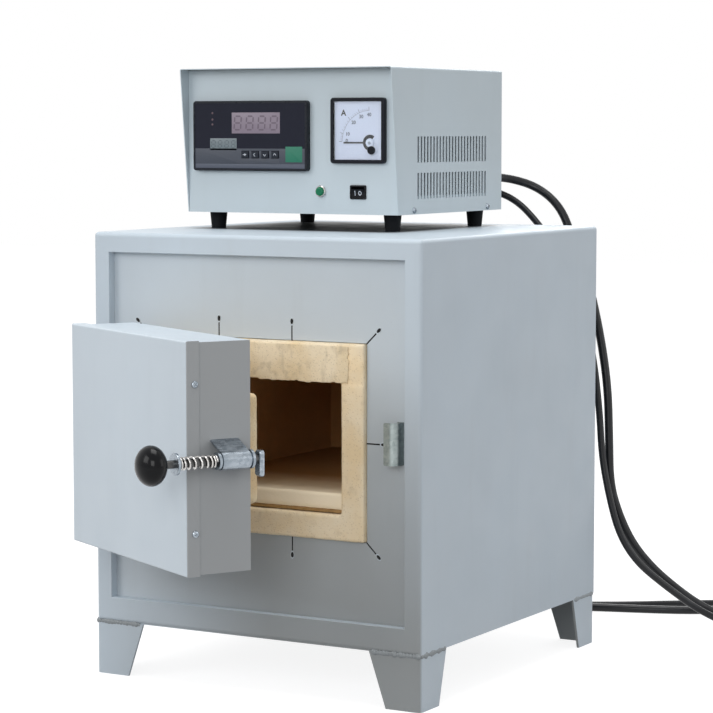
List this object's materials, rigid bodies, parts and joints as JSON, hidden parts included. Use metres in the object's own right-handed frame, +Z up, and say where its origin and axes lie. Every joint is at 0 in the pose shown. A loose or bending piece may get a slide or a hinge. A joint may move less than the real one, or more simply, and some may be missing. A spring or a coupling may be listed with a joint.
{
  "type": "muffle furnace",
  "caption": "Box muffle furnace on bent legs: hinged door with ceramic plug and sprung push-and-turn latch, hearth chamber, and a controller cabinet with ammeter on top.",
  "frame": {"origin": "on the bench, under the middle of the furnace body's width and depth", "axes": "+X to the operator's right when facing the door, +Y from the door side to the back, +Z up"},
  "size_m": [0.7576, 1.162, 0.7365],
  "materials": {
    "body_paint": "satin",
    "panel_paint": "satin",
    "door_paint": "satin",
    "controller_paint": "satin",
    "zinc": "satin",
    "bright_steel": "polished",
    "spring_steel": "polished",
    "mouth_ceramic": "matte",
    "muffle_ceramic": "matte",
    "hearth_ceramic": "matte",
    "plug_ceramic": "matte",
    "bush_ceramic": "matte",
    "fibre_blanket": "matte",
    "element_alloy": "matte",
    "sheath_alloy": "satin",
    "black_phenolic": "gloss",
    "black_plastic": "matte",
    "foot_rubber": "matte",
    "cord_rubber": "satin",
    "instrument_case": "satin",
    "instrument_face": "satin",
    "key_rubber": "matte",
    "dial_white": "matte",
    "clear_cover": "gloss",
    "needle_black": "matte",
    "lens_green": "gloss",
    "brass": "satin"
  },
  "bodies": {
    "furnace": {"outer_shell": "body_paint", "front_panel": "panel_paint", "back_panel": "body_paint", "bottom_panel": "body_paint", "leg_front_left": "body_paint", "leg_front_right": "body_paint", "leg_rear_left": "body_paint", "leg_rear_right": "body_paint", "mouth_plate": "mouth_ceramic", "hearth_slab": "hearth_ceramic", "muffle": "muffle_ceramic", "heating_elements": "element_alloy", "insulation_jacket": "fibre_blanket", "lead_bushes": "bush_ceramic", "lead_terminals": "brass", "thermocouple": "sheath_alloy", "sensor_head": "black_plastic", "terminal_cover": "body_paint", "case_screws": "bright_steel", "cable_glands": "black_plastic", "keeper": "zinc", "keeper_rivets": "bright_steel", "hinge_brackets": "zinc", "hinge_pins": "bright_steel", "cabinet_cover": "controller_paint", "cabinet_front": "controller_paint", "cabinet_tray": "controller_paint", "cabinet_feet": "foot_rubber", "instrument_body": "instrument_case", "instrument_window": "instrument_face", "meter_case": "black_plastic", "meter_dial": "dial_white", "meter_cover": "clear_cover", "lamp_bezel": "bright_steel", "lamp_lens": "lens_green", "switch_frame": "black_plastic", "heater_cord": "cord_rubber", "sensor_cord": "cord_rubber"},
    "door": {"door_pan": "door_paint", "door_casing": "door_paint", "door_insulation": "fibre_blanket", "door_plug": "plug_ceramic", "hinge_straps": "door_paint", "door_screws": "bright_steel", "latch_saddle": "zinc", "guide_tube": "zinc", "rear_washer": "zinc"},
    "latch_slide_body": {"spring_cup": "zinc", "latch_spring": "spring_steel"},
    "latch_turn_body": {"latch_rod": "bright_steel", "latch_knob": "black_phenolic", "latch_hook": "zinc"},
    "key_1_body": {"key_1": "key_rubber"},
    "key_2_body": {"key_2": "key_rubber"},
    "key_3_body": {"key_3": "key_rubber"},
    "key_4_body": {"key_4": "key_rubber"},
    "needle_body": {"meter_needle": "needle_black"},
    "zero_screw_body": {"zero_screw": "black_plastic"},
    "rocker_body": {"switch_rocker": "black_plastic"}
  },
  "joints": [
    {"name": "door_hinge", "type": "hinge", "parent": "furnace", "child": "door", "pos_m": [-0.191, -0.239, 0.3065], "axis": [0, 0, -1], "range_deg": [-29.7, 80]},
    {"name": "latch_slide", "type": "slide", "parent": "door", "child": "latch_slide_body", "axis": [0.4955, 0.8686, 0], "range_m": [0, 0.006], "stiffness_N_per_m": 700, "deforming": ["latch_spring"]},
    {"name": "latch_turn", "type": "hinge", "parent": "latch_slide_body", "child": "latch_turn_body", "pos_m": [0.08194, -0.48103, 0.306], "axis": [-0.4955, -0.8686, 0], "range_deg": [0, 90]},
    {"name": "key_1_press", "type": "slide", "parent": "furnace", "child": "key_1_body", "axis": [0, 1, 0], "range_m": [0, 0.0008], "stiffness_N_per_m": 300},
    {"name": "key_2_press", "type": "slide", "parent": "furnace", "child": "key_2_body", "axis": [0, 1, 0], "range_m": [0, 0.0008], "stiffness_N_per_m": 300},
    {"name": "key_3_press", "type": "slide", "parent": "furnace", "child": "key_3_body", "axis": [0, 1, 0], "range_m": [0, 0.0008], "stiffness_N_per_m": 300},
    {"name": "key_4_press", "type": "slide", "parent": "furnace", "child": "key_4_body", "axis": [0, 1, 0], "range_m": [0, 0.0008], "stiffness_N_per_m": 300},
    {"name": "needle_swing", "type": "hinge", "parent": "furnace", "child": "needle_body", "pos_m": [0.0705, -0.079, 0.646], "axis": [0, 1, 0], "range_deg": [0, 88], "stiffness_Nm_per_rad": 0.0004},
    {"name": "zero_adjust", "type": "hinge", "parent": "furnace", "child": "zero_screw_body", "pos_m": [0.074, -0.079, 0.637], "axis": [0, 1, 0], "range_deg": [-30, 30]},
    {"name": "power_rocker", "type": "hinge", "parent": "furnace", "child": "rocker_body", "pos_m": [0.053, -0.0745, 0.5865], "axis": [-1, 0, 0], "range_deg": [0, 24]}
  ]
}
